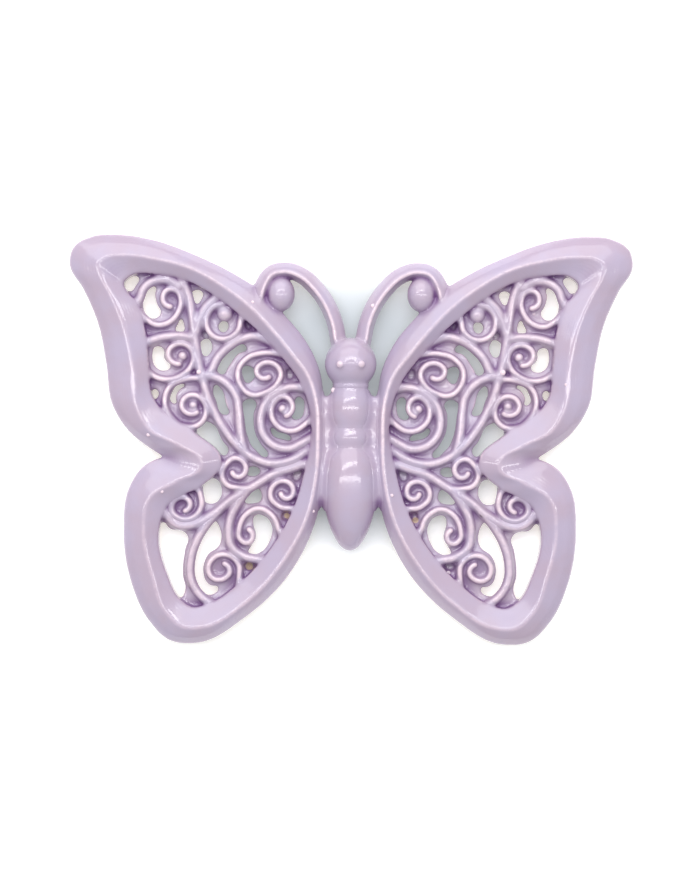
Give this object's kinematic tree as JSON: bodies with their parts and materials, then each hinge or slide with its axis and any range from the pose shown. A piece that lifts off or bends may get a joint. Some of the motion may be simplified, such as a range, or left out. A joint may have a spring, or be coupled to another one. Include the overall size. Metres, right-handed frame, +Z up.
{
  "type": "butterfly ornament",
  "caption": "Openwork butterfly of glazed clay with scrolled wings, a lobed body and curled antennae, for a wall or to lie flat as a trivet.",
  "frame": {"origin": "middle of the outline's length and width, on the plane of the pads' undersides", "axes": "X across the wings towards the butterfly's wing that lies at the right of the picture, Y from the tail towards the head, Z up from the surface it lies on"},
  "size_m": [0.2192, 0.159, 0.0177],
  "materials": {
    "glazed_clay": "glossy",
    "pad_rubber": "matte"
  },
  "bodies": {
    "root": {"abdomen": "glazed_clay", "antenna_knob_left": "glazed_clay", "antenna_knob_right": "glazed_clay", "antenna_left": "glazed_clay", "antenna_right": "glazed_clay", "big_spiral_left": "glazed_clay", "big_spiral_right": "glazed_clay", "collar": "glazed_clay", "end_curl_left": "glazed_clay", "end_curl_right": "glazed_clay", "eye_left": "glazed_clay", "eye_right": "glazed_clay", "foot_curl_left": "glazed_clay", "foot_curl_right": "glazed_clay", "forewing_panel_left": "glazed_clay", "forewing_panel_right": "glazed_clay", "head": "glazed_clay", "hindwing_panel_left": "glazed_clay", "hindwing_panel_right": "glazed_clay", "hook_ring_left": "glazed_clay", "hook_ring_right": "glazed_clay", "inner_branch_left": "glazed_clay", "inner_branch_right": "glazed_clay", "leaf_inner_left": "glazed_clay", "leaf_inner_right": "glazed_clay", "long_branch_left": "glazed_clay", "long_branch_right": "glazed_clay", "lower_arc_left": "glazed_clay", "lower_arc_right": "glazed_clay", "lower_spiral_left": "glazed_clay", "lower_spiral_right": "glazed_clay", "main_vine_left": "glazed_clay", "main_vine_right": "glazed_clay", "middle_spiral_left": "glazed_clay", "middle_spiral_right": "glazed_clay", "outer_branch_left": "glazed_clay", "outer_branch_right": "glazed_clay", "pads": "pad_rubber", "ring_left": "glazed_clay", "ring_right": "glazed_clay", "root_curl_left": "glazed_clay", "root_curl_right": "glazed_clay", "saddle_left": "glazed_clay", "saddle_right": "glazed_clay", "small_spiral_left": "glazed_clay", "small_spiral_right": "glazed_clay", "thorax": "glazed_clay", "tip_arc_left": "glazed_clay", "tip_arc_right": "glazed_clay", "tip_spiral_left": "glazed_clay", "tip_spiral_right": "glazed_clay", "upper_arc_left": "glazed_clay", "upper_arc_right": "glazed_clay", "waist_band": "glazed_clay", "wing_rim_left": "glazed_clay", "wing_rim_right": "glazed_clay"}
  },
  "joints": []
}
